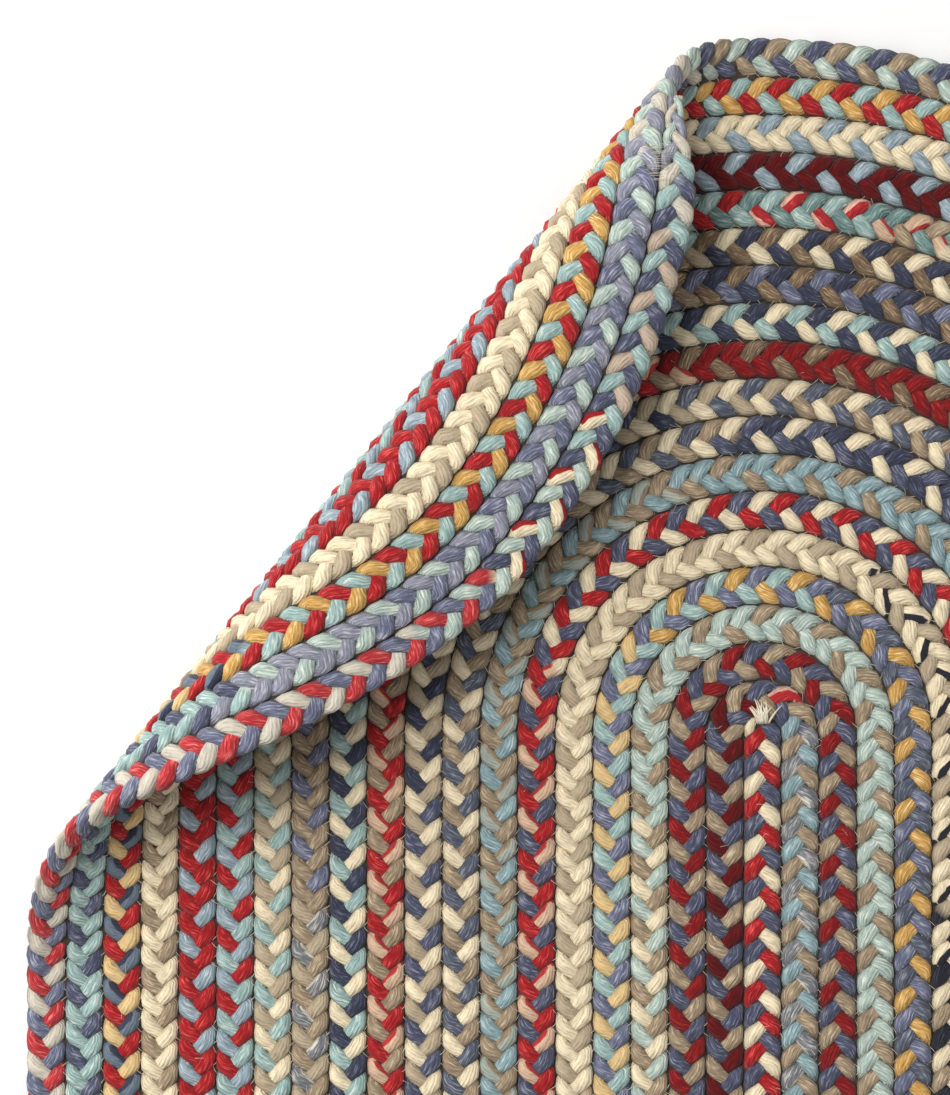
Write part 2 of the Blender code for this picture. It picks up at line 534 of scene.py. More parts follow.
@dataclass
class TubeMesh:
    """Closed tubes of one piece, all with the same number of sides.

    Each tube is a run of rings, and each ring a loop of points. A tube's ends are
    closed by one face each. In the map for a baked picture the tubes lie in strips,
    each with a margin, and all ends share one small spot.
    """

    sides: int
    points: list[Array] = field(default_factory=list)
    lengths: list[int] = field(default_factory=list)
    strips: int = 40
    strip_margin: float = 0.06
    strip_end: float = 0.005
    strip_length: float = 0.98
    spot: float = 0.002
    spot_radius: float = 0.0015

    def add(self, middle: Array, half_width: Array, half_height: Array) -> None:
        """Add one tube along a line.

        Args:
            middle: n x 3 places of its middle line.
            half_width: Its half width at each place, across the line.
            half_height: Its half height at each place.
        """
        ahead = unit(np.gradient(middle, axis=0))
        across = unit(np.cross(np.array([0.0, 0.0, 1.0]), ahead))
        up = np.cross(ahead, across)
        angle = side_angles(self.sides)
        ring = (
            middle[:, None]
            + across[:, None] * (half_width[:, None] * np.cos(angle))[..., None]
            + up[:, None] * (half_height[:, None] * np.sin(angle))[..., None]
        )
        self.points.append(ring.reshape(-1, 3))
        self.lengths.append(len(middle))

    def add_thread(self, middle: Array, radius: float | Array) -> None:
        """Add one round tube along a line."""
        size = np.broadcast_to(radius, len(middle))
        self.add(middle, size, size)

    def faces(self) -> list[list[int]]:
        """Return the corners of all quads, and then of all end faces."""
        quads, ends, first = [], [], 0
        side = np.arange(self.sides)
        for rings in self.lengths:
            low = first + self.sides * np.arange(rings - 1)[:, None]
            a, b = low + side, low + (side + 1) % self.sides
            quads.append(np.stack([a, b, b + self.sides, a + self.sides], -1))
            ends += [first + side[::-1], first + self.sides * (rings - 1) + side]
            first += self.sides * rings
        return np.concatenate(quads).reshape(-1, 4).tolist() + np.stack(ends).tolist()

    def bake_map(self) -> Array:
        """Return map places for a baked picture, for all face corners."""
        rings = sum(self.lengths) - len(self.lengths)
        per_strip = -(-rings // self.strips)
        strip, row = np.divmod(np.arange(rings)[:, None], per_strip)
        width = 1 - 2 * self.strip_margin
        offset = self.strip_margin + width * np.arange(self.sides) / self.sides
        left = (strip + offset) / self.strips
        right = left + width / self.sides / self.strips
        low = self.strip_end + self.strip_length * (row / per_strip)
        corners = corner_places(left, right, low, low + self.strip_length / per_strip)
        angle = side_angles(self.sides)
        circle = np.stack([np.cos(angle), np.sin(angle)], 1)
        ends = np.tile(self.spot + self.spot_radius * circle, (2 * len(self.lengths), 1))
        return np.concatenate([corners, ends])

    def yarn_map(self, along: list[Array]) -> Array:
        """Map each face corner to its place round its tube and along it.

        Args:
            along: For each tube, the places of its rings along it.

        Returns:
            Map places of all face corners.
        """
        left = np.arange(self.sides) / self.sides
        right = np.arange(1, self.sides + 1) / self.sides
        parts = [corner_places(left, right, at[:-1, None], at[1:, None]) for at in along]
        tips = np.concatenate([at[[0, -1]] for at in along])
        ends = np.broadcast_arrays(left, tips[:, None])
        return np.concatenate([*parts, np.stack(ends, -1).reshape(-1, 2)])

    def piece(self, name: str, rug: Rug) -> Object:
        """Make the piece, carried over the fold.

        Args:
            name: The piece's name.
            rug: The rug that it belongs to.

        Returns:
            The new object.
        """
        places = rug.carry(np.concatenate(self.points))
        mesh = bpy.data.meshes.new(name)
        mesh.from_pydata(places.tolist(), [], self.faces())
        mesh.shade_smooth()
        return add_object(name, mesh)


def settle(piece: Object, material: Material) -> Object:
    """Dress a piece and make it ride with the rug.

    Args:
        piece: The piece.
        material: Its material.

    Returns:
        The piece.
    """
    piece.data.materials.append(material)
    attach(piece, "root")
    log.info("%s: %d faces", piece.name, len(piece.data.polygons))
    return piece


# ----------------------------------------------------------------- materials

# Sockets of the Mix node: its two colours, and the colour that it gives.
MIX_FIRST, MIX_SECOND, MIX_RESULT = 6, 7, 2


class Socket:
    """A shader value, on which Python's operators add Math nodes."""

    def __init__(self, graph: "Graph", output: NodeSocket | None) -> None:
        """Wrap one node output, or none for the last node."""
        self.graph = graph
        self.output = output

    def _with(self, operation: str, *values: "Socket | float") -> "Socket":
        """Return a Math node's result."""
        inputs = dict(enumerate(values))
        return self.graph.node("ShaderNodeMath", {"operation": operation}, inputs)

    def __add__(self, other: "Socket | float") -> "Socket":
        """Add."""
        return self._with("ADD", self, other)

    __radd__ = __add__

    def __sub__(self, other: "Socket | float") -> "Socket":
        """Subtract."""
        return self._with("SUBTRACT", self, other)

    def __rsub__(self, other: float) -> "Socket":
        """Subtract from a number."""
        return self._with("SUBTRACT", other, self)

    def __mul__(self, other: "Socket | float") -> "Socket":
        """Multiply."""
        return self._with("MULTIPLY", self, other)

    def __mod__(self, other: float) -> "Socket":
        """Take the remainder, never negative."""
        return self._with("FLOORED_MODULO", self, other)

    def __abs__(self) -> "Socket":
        """Drop the sign."""
        return self._with("ABSOLUTE", self)

    def floor(self) -> "Socket":
        """Round down."""
        return self._with("FLOOR", self)

    def within(self) -> "Socket":
        """Hold the value between 0 and 1."""
        return self._with("MINIMUM", self._with("MAXIMUM", self, 0.0), 1.0)


class Graph:
    """The nodes of one material."""

    noise_spread = 2.6  # stretches smooth noise, so that it reaches 0 and 1

    def __init__(self, name: str) -> None:
        """Start a material with an empty node tree."""
        self.material = bpy.data.materials.new(name)
        self.material.use_nodes = True
        self.tree = self.material.node_tree
        self.tree.nodes.clear()

    def node(
        self,
        kind: str,
        settings: dict[str, object],
        inputs: dict[str | int, object],
        output: str | int = 0,
    ) -> Socket:
        """Add a node.

        Args:
            kind: The node's type.
            settings: Its properties, set first.
            inputs: Values or links of its input sockets.
            output: The output to return.

        Returns:
            The wrapped output.
        """
        made = self.tree.nodes.new(kind)
        for name, value in settings.items():
            setattr(made, name, value)
        for name, value in inputs.items():
            if isinstance(value, Socket):
                self.tree.links.new(value.output, made.inputs[name])
            else:
                made.inputs[name].default_value = value
        return Socket(self, made.outputs[output] if made.outputs else None)

    def vector(self, x: Socket | float, y: Socket | float, z: float) -> Socket:
        """Join three values into a vector."""
        return self.node("ShaderNodeCombineXYZ", {}, {0: x, 1: y, 2: z})

    def noise(self, place: Socket, detail: float = 1.0, scale: float = 1.0) -> Socket:
        """Return smooth noise that fills 0 to 1.

        Args:
            place: Where to read it.
            detail: How many finer octaves it has.
            scale: Its scale.

        Returns:
            The noise, spread so that it reaches both ends.
        """
        inputs = {"Vector": place, "Scale": scale, "Detail": detail}
        found = self.node("ShaderNodeTexNoise", {}, inputs)
        return ((found - 0.5) * self.noise_spread + 0.5).within()

    def mixed(self, factor: Socket, first: object, second: object) -> Socket:
        """Mix two colours by a factor."""
        inputs = {0: factor, MIX_FIRST: first, MIX_SECOND: second}
        return self.node("ShaderNodeMix", {"data_type": "RGBA"}, inputs, MIX_RESULT)

    def bump(self, height: Socket, distance: float) -> Socket:
        """Turn a height into a normal."""
        inputs = {"Height": height, "Distance": distance, "Strength": 1.0}
        return self.node("ShaderNodeBump", {}, inputs)

    def finish(self, inputs: dict[str, object]) -> Material:
        """Add the surface shader with these inputs and return the material."""
        surface = self.node("ShaderNodeBsdfPrincipled", {}, inputs)
        self.node("ShaderNodeOutputMaterial", {}, {"Surface": surface})
        return self.material


@dataclass(frozen=True)
class WoolFinish:
    """Heathered wool yarn, several yarns side by side round each strand, with painted shade in
    the grooves between the yarns and towards each strand's sides.

    Lengths are in metres along the strand. The planes are slices of the noise, far
    enough apart that its four uses have nothing in common.
    """

    yarns: int = 13
    turns: float = 14.0
    sway: float = 0.60
    sway_length: float = 0.007
    sway_plane: float = 5.0
    tone_step: float = 7.13
    tone_length: float = 0.012
    tone_plane: float = 3.0
    tone_detail: float = 1.0
    tone_range: float = 0.30
    fibres: float = 2.6
    fibre_length: float = 0.0050
    fibre_plane: float = 7.0
    fibre_detail: float = 3.0
    fibre_range: float = 0.54
    fibre_height: float = 0.5
    mottles: float = 0.45
    mottle_length: float = 0.0022
    mottle_plane: float = 11.0
    mottle_detail: float = 2.0
    groove_least: float = 0.35
    ply_sway: float = 0.24
    ply_sharpness: float = 9.0
    heather_tone: float = 0.15
    heather_level: float = 0.96
    heather_contrast: float = 2.1
    heather_cover: float = 0.85
    # painted shade: how much the grooves between yarns, and each strand's sides, darken the
    # colour
    groove_shade_base: float = 1.05
    groove_shade_depth: float = 0.19
    side_shade_base: float = 1.03
    side_shade_depth: float = 0.58
    relief: float = 0.00038
    roughness: float = 0.92
    specular: float = 0.2
    sheen: float = 0.12
    sheen_roughness: float = 0.6

    def material(self) -> Material:
        """Build the material."""
        graph = Graph(SLOT)
        cord = graph.node("ShaderNodeUVMap", {"uv_map": "yarn"}, {})
        around, along = (
            graph.node("ShaderNodeSeparateXYZ", {}, {0: cord}, axis) for axis in "XY"
        )
        main, heather, second, inside = (
            graph.node("ShaderNodeAttribute", {"attribute_name": name}, {}, output)
            for name in ("main", "second")
            for output in ("Color", "Alpha")
        )
        place = graph.vector(along * (1 / self.sway_length), 0.0, self.sway_plane)
        sway = (graph.noise(place) - 0.5) * self.sway
        phase = (around + along * self.turns) * self.yarns + sway
        yarn, cell = phase % self.yarns, phase.floor() % self.yarns
        tone, fibre, mottle = (
            graph.noise(graph.vector(across, along * (1 / length), plane), detail)
            for across, length, plane, detail in (
                (cell * self.tone_step, self.tone_length, self.tone_plane, self.tone_detail),
                (yarn * self.fibres, self.fibre_length, self.fibre_plane, self.fibre_detail),
                (yarn * self.mottles, self.mottle_length, self.mottle_plane, self.mottle_detail),
            )
        )
        edge = abs(phase % 1.0 - 0.5) * 2.0
        depth = self.groove_least + mottle * (1 - self.groove_least)
        groove = edge * edge * (3.0 - edge * 2.0) * depth
        ply = ((inside + (tone - 0.5) * self.ply_sway) * self.ply_sharpness).within()
        mixed = fibre * (1 - self.heather_tone) + tone * self.heather_tone
        spun = (mixed - self.heather_level + heather) * self.heather_contrast
        factor = (ply + spun.within() * self.heather_cover).within()
        light = 1.0 + (tone - 0.5) * self.tone_range + (fibre - 0.5) * self.fibre_range
        # painted shade: the colour is darkened in the grooves between the yarns
        light = light * (self.groove_shade_base - groove * self.groove_shade_depth)
        # painted shade: the colour is darkened towards the strand's two sides, for its rounding
        # and the crevices between lobes
        side = abs((around * 2.0) % 1.0 - 0.5) * 2.0
        light = light * (self.side_shade_base - side * side * self.side_shade_depth)
        inputs = {0: graph.mixed(factor, main, second), "Scale": light}
        colour = graph.node("ShaderNodeVectorMath", {"operation": "SCALE"}, inputs)
        height = 1.0 - groove + fibre * self.fibre_height
        return graph.finish(
            {
                "Base Color": colour,
                "Roughness": self.roughness,
                "Specular IOR Level": self.specular,
                "Sheen Weight": self.sheen,
                "Sheen Roughness": self.sheen_roughness,
                "Normal": graph.bump(height, self.relief),
            }
        )


@dataclass(frozen=True)
class PlainFinish:
    """A matt fibre of one colour with a little mottling."""

    name: str
    colour: int
    second: int
    grain: float = 0.004
    detail: float = 2.0
    relief: float = 0.0002
    roughness: float = 0.9

    def material(self) -> Material:
        """Build the material."""
        graph = Graph(self.name)
        place = graph.node("ShaderNodeTexCoord", {}, {}, "Object")
        mottle = graph.noise(place, self.detail, 1 / self.grain)
        colour = graph.mixed(mottle, [*wool(self.colour), 1], [*wool(self.second), 1])
        normal = graph.bump(mottle, self.relief)
        return graph.finish(
            {"Base Color": colour, "Roughness": self.roughness, "Normal": normal}
        )


# --------------------------------------------------------------------- pieces


@dataclass
class Braid:
    """The three strands, in pieces of a few rings each.

    Lengths are in rows of braid. wall and rim are how far out a strand may reach at
    a seam and at the rug's free edge, and soft_wall the share of that over which it
    is pressed back. join_spread is how far a new yarn's start may wander, and splits
    are the rings at which a new piece starts.
    """

    rug: Rug
    pitch: float = 1.672
    swing: float = 0.362
    straightness: float = 0.04
    lean: float = 0.14
    flat_top: float = 0.10
    rise: float = 0.095
    drift: float = 0.014
    drift_length: float = 0.9
    half_width: float = 0.214
    half_height: float = 0.188
    turn_fullness: float = 0.08
    turn_sharpness: int = 6
    lobe_fullness: float = 0.15
    looseness: float = 0.05
    looseness_length: float = 0.7
    start_size: float = 0.25
    start_lead: float = 0.05
    start_taper: float = 0.5
    wall: float = 0.526
    rim: float = 0.58
    soft_wall: float = 0.20
    sides: int = 8
    rings_per_pitch: int = 14
    crowding: float = 0.20
    phase_step: float = 0.1
    least_gap: float = 0.2
    strand_offset: float = 17.3
    join_spread: float = 3.0
    splits: tuple[int, ...] = (6, 9, 12, 15, 17)
    path_seed: int = 11
    size_seed: int = 21
    join_seed: int = 31

    def __post_init__(self) -> None:
        """Place the leads along the braid."""
        self.lead_places = [self.rug.coil.start_of(lead) for lead in LEADS]
        self.leads = [lead.repeats for lead in LEADS]

    def phase(self, distance: Array, strand: int) -> Array:
        """Return a strand's phase in the braid at distances along it."""
        ahead = np.interp(distance, self.lead_places, self.leads)
        repeats = distance / (self.pitch * self.rug.coil.row) + ahead
        return TAU * (repeats - strand / STRANDS)

    def strand(self, distance: Array, number: int) -> tuple[Array, Array, Array]:
        """Return a strand's middle line and half sizes on the flat rug.

        It slants nearly straight across the row, on top on its way out to an edge,
        and dives round the edge to go back underneath.

        Args:
            distance: Distances along the braid.
            number: Which strand, from 0 to 2.

        Returns:
            n x 3 places with heights from mid-thickness, and the half width and half
            height at each.
        """
        row, places = self.rug.coil.row, self.rug.coil.at(distance)
        phase = self.phase(distance, number)
        lateral = np.sin(phase) - self.straightness * np.sin(3 * phase)
        lateral *= self.swing / (1 + self.straightness)
        draw = np.random.default_rng(self.path_seed + number)
        lateral += wander(distance, self.drift_length * row, self.drift, draw)
        height = np.sin(2 * phase) - self.lean * np.sin(4 * phase)
        height += self.flat_top * np.sin(6 * phase)
        height *= self.rise * row * places.width / (1 + self.lean / 2)
        middle = np.column_stack([places.offset(lateral * places.width * row), height])
        turning = np.abs(np.sin(phase)) ** self.turn_sharpness
        full = 1 + self.lobe_fullness * np.sin(2 * phase) ** 2
        draw = np.random.default_rng(self.size_seed + number)
        loose = 1 + wander(distance, self.looseness_length * row, self.looseness, draw)
        begun = (distance / row + self.start_lead) / self.start_taper
        size = row * np.clip(begun, self.start_size, 1) * places.width
        high = self.half_height * (1 + self.turn_fullness * turning)
        return middle, self.half_width * size * loose * full, high * size * full**0.5

    def press(self, ring: Array, distance: Array) -> Array:
        """Press a tube's points softly back at the seams and at the rug's rim.

        Args:
            ring: n x sides x 3 points on the flat rug.
            distance: The n distances along the braid.

        Returns:
            The points, none far beyond the seams.
        """
        coil = self.rug.coil
        places = coil.at(distance)
        from_middle = ring[..., :2] - places.plan[:, None]
        out = (from_middle * places.outward[:, None]).sum(-1)
        free = (distance > coil.last_lap)[:, None] & (out > 0)
        limit = np.where(free, self.rim, self.wall) * (coil.row * places.width)[:, None]
        soft = self.soft_wall * limit
        beyond = np.maximum(np.abs(out) + soft - limit, 0)
        held = np.abs(out) - beyond + soft * (1 - np.exp(-beyond / soft))
        shift = places.outward[:, None] * (np.sign(out) * held - out)[..., None]
        return np.concatenate([ring[..., :2] + shift, ring[..., 2:]], -1)

    def distances(self, low: float, high: float, strand: int) -> Array:
        """Return a strand's ring places, closer together where it turns.

        Args:
            low: The first distance along the braid.
            high: The last.
            strand: Which strand.

        Returns:
            The distances, with both ends.
        """
        row, count = self.rug.coil.row, self.rings_per_pitch
        places = np.linspace(low, high, int((high - low) / (self.phase_step * row)) + 2)
        phase = self.phase(places, strand)
        first, last = (int(phase[end] / TAU * count) for end in (0, -1))
        even = TAU * np.arange(first - 1, last + 2) / count
        found = np.interp(even + self.crowding * np.sin(2 * even), phase, places)
        gap = self.least_gap * self.pitch * row / count
        found = found[(found > low + gap) & (found < high - gap)]
        return np.concatenate([[low], found, [high]])

    def yarns_at(self, distance: Array, strand: int) -> Array:
        """Return both colours of the yarn at each point of a strand.

        The share after the first colour is the heather, and after the second how far
        the point lies inside the ply of the second wool, below 0 outside it.

        Args:
            distance: Distances along the braid.
            strand: Which strand.

        Returns:
            An n x sides x 8 array.
        """
        starts = np.array([self.rug.coil.start_of(run) for run in RUNS])
        draw = np.random.default_rng(self.join_seed + strand)
        starts += draw.uniform(0, self.join_spread, len(RUNS)) * self.rug.coil.row
        table = np.array([run.blend(strand).values() for run in RUNS])
        index = np.searchsorted(starts, distance, "right") - 1
        found = table[np.clip(index, 0, len(RUNS) - 1)]
        found = np.repeat(found[:, None], self.sides, axis=1)
        ply = found[..., 7]
        outward = np.sign(np.cos(self.phase(distance, strand)))[:, None]
        ahead = -outward * np.cos(side_angles(self.sides))
        found[..., 7] = np.sign(ply) * ahead - 1 + 2 * np.abs(ply)
        return found

    def piece(self, name: str, low: float, high: float) -> Object:
        """Build the three strands between two distances, with their maps and yarns.

        Args:
            name: The piece's name.
            low: The first distance along the braid.
            high: The last.

        Returns:
            The piece.
        """
        tubes = TubeMesh(self.sides)
        along, yarns = [], []
        for strand in range(STRANDS):
            distance = self.distances(low, high, strand)
            middle, *sizes = self.strand(distance, strand)
            tubes.add(middle, *sizes)
            ring = tubes.points[-1].reshape(-1, self.sides, 3)
            tubes.points[-1] = self.press(ring, distance).reshape(-1, 3)
            steps = np.linalg.norm(np.diff(middle, axis=0), axis=1)
            stretch = steps.sum() / (high - low)
            along.append(distance * stretch + strand * self.strand_offset)
            yarns.append(self.yarns_at(distance, strand).reshape(-1, 8))
        piece = tubes.piece(name, self.rug)
        maps = {"yarn": tubes.yarn_map(along), "OFBake": tubes.bake_map()}
        for key, places in maps.items():
            layer = piece.data.uv_layers.new(name=key)
            layer.uv.foreach_set("vector", places.astype(np.float32).ravel())
        colours = np.concatenate(yarns)
        for key, values in (("main", colours[:, :4]), ("second", colours[:, 4:])):
            made = piece.data.attributes.new(key, "FLOAT_COLOR", "POINT")
            made.data.foreach_set("color", values.astype(np.float32).ravel())
        return piece

    def build(self, material: Material) -> list[Object]:
        """Build all pieces of the braid.

        Args:
            material: Their wool.

        Returns:
            The pieces, from the centre row outwards.
        """
        coil = self.rug.coil
        cuts = [0.0, *(coil.legs[ring, LEFT][0] for ring in self.splits), coil.reach]
        return [
            settle(self.piece(f"braid_{number}", low, high), material)
            for number, (low, high) in enumerate(zip(cuts, cuts[1:]), 1)
        ]


@dataclass
class Core:
    """The thin sheet inside the braid, seen only between its strands, whose dark colour is
    painted shade in those gaps.

    half_thickness and edge, its reach past the last row's middle, are in rows.
    """

    rug: Rug
    half_thickness: float = 0.05
    edge: float = 0.16
    straight_steps: int = 22
    arc_steps: int = 44
    steps_across: int = 21
    merge_distance: float = 0.00002

    def outline(self) -> tuple[Array, Array]:
        """Return the axis point and the edge point of each line across."""
        coil = self.rug.coil
        row, straight = coil.row, coil.straight
        inner, outer = coil.rings - 1 + self.edge, coil.rings + self.edge
        heights = np.linspace(-straight, 0, self.straight_steps + 1)
        ones = np.ones(self.straight_steps)
        left = np.stack([-outer * row * ones, heights[:-1]], 1)
        right = np.stack([inner * row * ones, heights[-2::-1]], 1)
        angle = np.linspace(math.pi, 0, self.arc_steps + 1)
        share = np.clip((angle - coil.tail_end) / coil.tail_taper, 0, 1)
        reach = (inner + (outer - inner) * share) * row
        top = np.stack([reach * np.cos(angle), reach * np.sin(angle)], 1)
        angle, reach = -angle[-2:0:-1], (inner + 0.5) * row
        bottom = np.stack([reach * np.cos(angle), reach * np.sin(angle)], 1)
        bottom -= (row / 2, straight)
        edge = np.concatenate([left, top, right, bottom])
        axis = np.stack([0 * edge[:, 0] - row / 4, edge[:, 1].clip(-straight, 0)], 1)
        return axis, edge

    def build(self, material: Material) -> Object:
        """Build the sheet as two skins joined at the edge.

        Args:
            material: Its wool.

        Returns:
            The piece.
        """
        axis, edge = self.outline()
        share = np.linspace(0, 1, self.steps_across + 1)[None, :, None]
        flat = (axis[:, None] * (1 - share) + edge[:, None] * share).reshape(-1, 2)
        height = self.half_thickness * self.rug.coil.row
        skins = [np.column_stack([flat, np.full(len(flat), z)]) for z in (height, -height)]
        across, count, low = self.steps_across + 1, len(axis), len(flat)
        faces = []
        for line in range(count):
            here, ahead = line * across, (line + 1) % count * across
            for step in range(across - 1):
                a, b = here + step, ahead + step
                faces.append((a, b, b + 1, a + 1))
                faces.append((a + low, a + 1 + low, b + 1 + low, b + low))
            a, b = here + across - 1, ahead + across - 1
            faces.append((a, b, b + low, a + low))
        mesh = bpy.data.meshes.new("braid_core_shade")
        mesh.from_pydata(self.rug.carry(np.concatenate(skins)).tolist(), [], faces)
        piece = add_object("braid_core_shade", mesh)
        self.merge(piece)
        return settle(piece, material)

    def merge(self, piece: Object) -> None:
        """Merge the sheet's doubled points and turn its faces outwards.

        Args:
            piece: The sheet.
        """
        bpy.ops.object.select_all(action="DESELECT")
        piece.select_set(True)
        bpy.context.view_layer.objects.active = piece
        bpy.ops.object.mode_set(mode="EDIT")
        bpy.ops.mesh.select_all(action="SELECT")
        bpy.ops.mesh.remove_doubles(threshold=self.merge_distance)
        bpy.ops.mesh.normals_make_consistent(inside=False)
        bpy.ops.mesh.quads_convert_to_tris()
        bpy.ops.object.mode_set(mode="OBJECT")
        bpy.ops.object.shade_smooth()
        piece.select_set(False)


class Threads:
    """A piece made of thin threads, each a round tube."""

    name: str
    sides: int
    rug: Rug

    def lay(self, tubes: TubeMesh) -> None:
        """Add the piece's threads, in its own way."""
        raise NotImplementedError

    def build(self, material: Material) -> Object:
        """Build the piece of this material and return it."""
        tubes = TubeMesh(self.sides)
        self.lay(tubes)
        return settle(tubes.piece(self.name, self.rug), material)


@dataclass
class Lacing(Threads):
    """The thin pale thread: short dashes in the seams, and stitches on the tail.

    half_width and the tail's gap and slant are in metres, and other lengths in rows.
    Each jitter is the largest random change of a stitch's place.
    """

    rug: Rug
    pitch: float
    half_width: float = 0.00014
    first: float = 2.0
    offset: float = 0.02
    reach: float = 0.12
    slant: float = 0.12
    height: float = 0.205
    sink: float = 0.12
    shown: float = 0.6
    jitter: float = 0.06
    height_jitter: float = 0.25
    tail_stitches: int = 18
    tail_half_width: float = 0.000098
    tail_gap: float = 0.0011
    tail_slant: float = 0.0006
    tail_from: float = 2.4
    tail_reach: float = 0.26
    tail_height: float = -0.285
    tail_bow: float = 0.07
    tail_jitter: tuple[float, float, float] = (0.3, 0.08, 0.06)
    name: str = "lacing_thread"
    sides: int = 3
    rings: int = 3
    seed: int = 5

    def lay(self, tubes: TubeMesh) -> None:
        """Add the dashes, two at each lobe of the braid, with some left out.

        Args:
            tubes: The thread's tubes.
        """
        coil = self.rug.coil
        draw = np.random.default_rng(self.seed)
        step = self.pitch * coil.row / STRANDS
        starts = np.arange(self.first * coil.row, coil.last_lap, step)
        starts = starts[draw.random(len(starts)) < self.shown]
        t = np.linspace(-1, 1, self.rings)
        for start, sign in itertools.product(starts, (-1, 1)):
            shift = draw.uniform(-self.jitter, self.jitter, 3)
            gone = start + coil.row * (sign * self.slant * (t + 1) + shift[0])
            out = 0.5 - t * (self.reach + shift[1]) + self.offset
            rise = self.height - self.sink * t * t + shift[2] * self.height_jitter
            plan = coil.at(gone).offset(out * coil.row)
            tubes.add_thread(np.column_stack([plan, rise * coil.row]), self.half_width)
        self.bind_tail(tubes)

    def bind_tail(self, tubes: TubeMesh) -> None:
        """Add the close stitches that hold the tail to the row beside it.

        Args:
            tubes: The thread's tubes.
        """
        coil = self.rug.coil
        t = np.linspace(-1, 1, self.rings)
        draw = np.random.default_rng(self.seed + 1)
        first = coil.reach - self.tail_from * coil.row
        for index in range(self.tail_stitches):
            shift = draw.uniform(-1, 1, 3) * self.tail_jitter
            gone = first + (index + shift[0]) * self.tail_gap + self.tail_slant * t
            places = coil.at(gone)
            out = shift[1] - places.width / 2 + (self.tail_reach + shift[2]) * t
            rise = (self.tail_bow * t * t + self.tail_height) * coil.row
            line = np.column_stack([places.offset(out * coil.row), rise])
            tubes.add_thread(line, self.tail_half_width)


@dataclass
class LooseFibres(Threads):
    """Fine hairs that stand off the yarn.

    Their sizes are in metres, and bow is the largest turn along a hair. lift is how
    steeply they rise, and lowest, in rows, keeps them off the floor.
    """

    rug: Rug
    braid: Braid
    count: int = 1600
    half_width: float = 0.00013
    shortest: float = 0.0025
    longest: float = 0.0075
    bow: float = 0.8
    depth: float = 0.9
    lift: tuple[float, float] = (0.1, 0.28)
    bend: float = 1.5
    lowest: float = -0.24
    root_size: float = 1.2
    taper: float = 0.8
    name: str = "loose_fibres"
    sides: int = 3
    rings: int = 4
    seed: int = 3

    def lay(self, tubes: TubeMesh) -> None:
        """Add the hairs, bowed and lying nearly flat.

        Args:
            tubes: The hairs' tubes.
        """
        coil = self.rug.coil
        draw = np.random.default_rng(self.seed)
        t = np.linspace(0, 1, self.rings)
        high = self.braid.half_height * coil.row * self.depth
        for index, start in enumerate(np.sort(draw.uniform(0, coil.reach, self.count))):
            near = np.array([start, start + PROBE])
            root = self.braid.strand(near, index % STRANDS)[0][0]
            heading = draw.uniform(0, TAU)
            gone = draw.uniform(self.shortest, self.longest) * t
            angle = heading + draw.uniform(-self.bow, self.bow) * t
            rise = high + draw.uniform(*self.lift) * gone * (self.bend - t)
            height = root[2] + (rise if root[2] > 0 else -rise)
            line = [root[0] + gone * np.cos(angle), root[1] + gone * np.sin(angle)]
            line.append(np.clip(height, self.lowest * coil.row, None))
            radius = self.half_width * (self.root_size - t * self.taper)
            tubes.add_thread(np.column_stack(line), radius)


@dataclass
class StartTuft(Threads):
    """The short frayed ends of yarn where the braid begins. Lengths are in rows."""

    rug: Rug
    count: int = 22
    shortest: float = 0.6
    length: float = 0.68
    half_width: float = 0.028
    side_reach: float = 0.16
    spread: float = 0.7
    splay: float = 0.6
    back: float = 0.28
    height: float = 0.24
    arch: float = 0.12
    height_range: tuple[float, float] = (-0.03, 0.05)
    root_size: float = 1.1
    taper: float = 0.6
    name: str = "start_tuft"
    sides: int = 6
    rings: int = 6
    seed: int = 8

    def lay(self, tubes: TubeMesh) -> None:
        """Add the ends, fanned out from the top of the centre row.

        Args:
            tubes: The ends' tubes.
        """
        coil = self.rug.coil
        draw = np.random.default_rng(self.seed)
        t = np.linspace(0, 1, self.rings)
        for _ in range(self.count):
            angle = draw.uniform(-self.spread, self.spread)
            gone = self.length * draw.uniform(self.shortest, 1.0) * t
            left = draw.uniform(-self.side_reach, self.side_reach)
            x = left + gone * math.sin(angle) * (1 - self.splay + self.splay * t)
            y = coil.start_rise - self.back + gone * math.cos(angle)
            z = self.height + self.arch * np.sin(math.pi * t)
            z += draw.uniform(*self.height_range)
            radius = self.half_width * coil.row * (self.root_size - self.taper * t * t)
            tubes.add_thread(np.column_stack([x, y, z]) * coil.row, radius)


@dataclass(frozen=True)
class Lamp:
    """A soft square light: its place, its size and its power in watts."""

    name: str
    place: tuple[float, float, float]
    size: float
    power: float


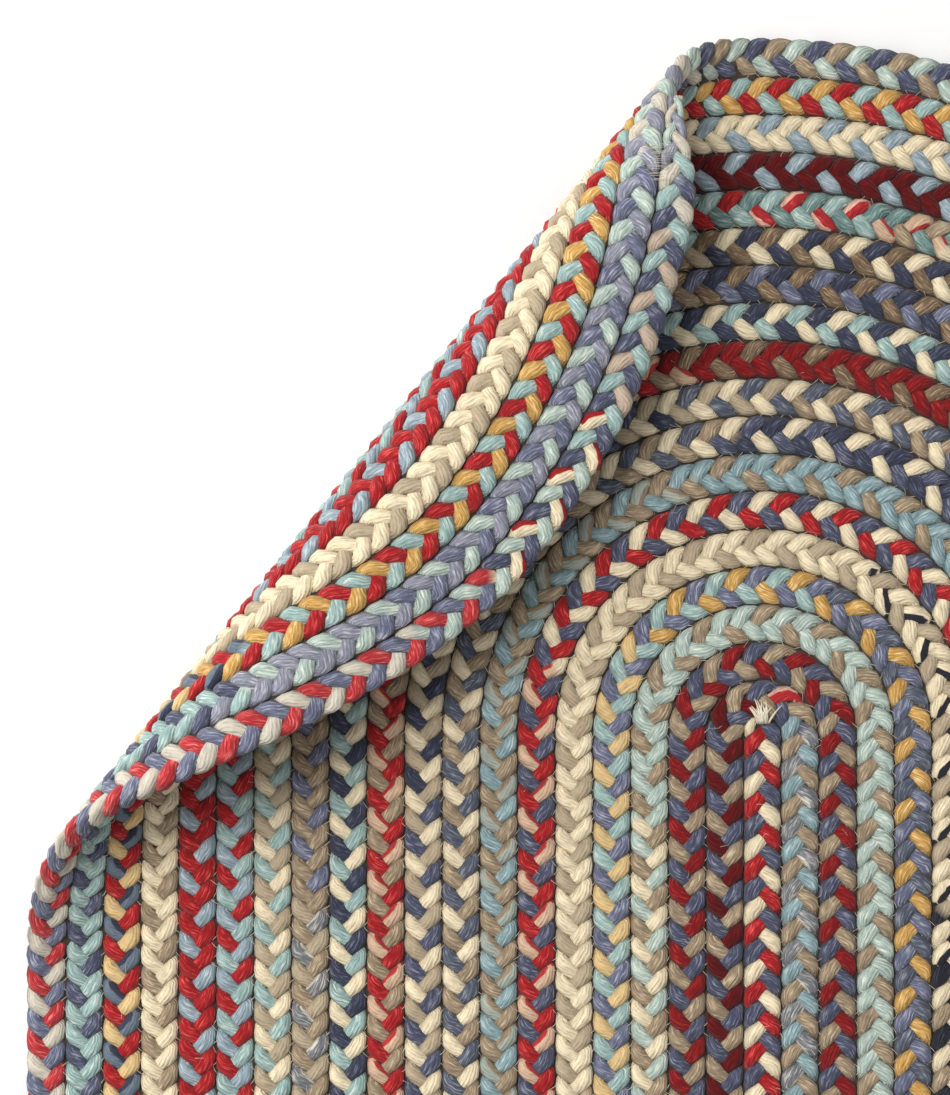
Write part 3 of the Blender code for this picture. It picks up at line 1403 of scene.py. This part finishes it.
@dataclass
class Studio:
    """A plain pale floor, soft lights and the camera.

    pixel is the real size of one of the photo's pixels at plane_height, where the
    rug's top lies, and eye is the place that the photo looks straight down on.
    """

    pixel: float
    eye: tuple[float, float] = (-0.1429, 0.3643)
    plane_height: float = 0.008
    eye_height: float = 1.8
    frame_height: int = 1095
    sensor: float = 36.0
    view_reach: float = 50.0
    floor_size: float = 12.0
    floor_level: float = -0.0010
    floor_colour: tuple[float, float, float, float] = (0.96, 0.96, 0.97, 1.0)
    floor_roughness: float = 0.9
    world_light: float = 0.44
    lamps: tuple[Lamp, ...] = (
        Lamp("key", (-1.02, 1.05, 2.4), 1.0, 44.0),
        Lamp("fill", (-2.3, 0.7, 0.8), 1.8, 23.0),
    )
    tint: tuple[float, float, float] = (1.0, 0.985, 0.955)

    def floor(self) -> None:
        """Add the floor."""
        bpy.ops.object.select_all(action="DESELECT")
        bpy.ops.mesh.primitive_plane_add(
            size=self.floor_size, location=(0, 0, self.floor_level)
        )
        floor = bpy.context.active_object
        floor.name = "floor"
        bpy.ops.object.transform_apply(location=True, rotation=True, scale=True)
        inputs = {"Base Color": self.floor_colour, "Roughness": self.floor_roughness}
        floor.data.materials.append(Graph("pale_floor").finish(inputs))

    def light(self, lamp: Lamp) -> None:
        """Add one light, facing the place that the photo looks at.

        Args:
            lamp: The light.
        """
        data = bpy.data.lights.new(lamp.name, "AREA")
        data.energy, data.size, data.color = lamp.power, lamp.size, self.tint
        light = add_object(lamp.name, data)
        light.location = lamp.place
        aim = Vector((*self.eye, 0)) - light.location
        light.rotation_euler = aim.to_track_quat("-Z", "Y").to_euler()

    def camera(self) -> None:
        """Add the camera, straight above the rug."""
        data = bpy.data.cameras.new("camera")
        data.sensor_fit, data.sensor_height = "VERTICAL", self.sensor
        data.lens = self.sensor * self.eye_height / (self.frame_height * self.pixel)
        data.clip_end = self.view_reach
        camera = add_object("camera", data)
        camera.location = (*self.eye, self.plane_height + self.eye_height)
        bpy.context.scene.camera = camera

    def build(self) -> None:
        """Build the studio."""
        self.floor()
        for lamp in self.lamps:
            self.light(lamp)
        self.camera()
        world = bpy.data.worlds.new("studio")
        world.use_nodes = True
        sky = world.node_tree.nodes["Background"]
        sky.inputs["Color"].default_value = (1.0, 1.0, 1.0, 1.0)
        sky.inputs["Strength"].default_value = self.world_light
        scene = bpy.context.scene
        scene.world = world
        scene.view_settings.view_transform = "Standard"


def write_sizes() -> None:
    """Update the view layer."""
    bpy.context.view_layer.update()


def main() -> None:
    """Build the rug's looks, its studio and its camera."""
    logging.basicConfig(level=logging.INFO, format="%(message)s")
    bpy.ops.object.select_all(action="DESELECT")
    coil = Coil()
    rug = Rug(coil)
    braid = Braid(rug)
    pale = PlainFinish("lacing_thread", 0xF2EAD6, 0xD6CAB2)
    # painted shade: the core's dark colour stands in for the shade in the gaps between strands
    dark = PlainFinish("braid_core_shade", 0x4C4238, 0x342C26)
    pieces = braid.build(WoolFinish().material())
    thread = pale.material()
    for maker in (Lacing(rug, braid.pitch), LooseFibres(rug, braid), StartTuft(rug)):
        pieces.append(maker.build(thread))
    core = Core(rug).build(dark.material())
    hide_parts(NODE)
    Studio(coil.row / ROW_PIXELS).build()
    write_sizes()


if __name__ == "__main__":
    main()
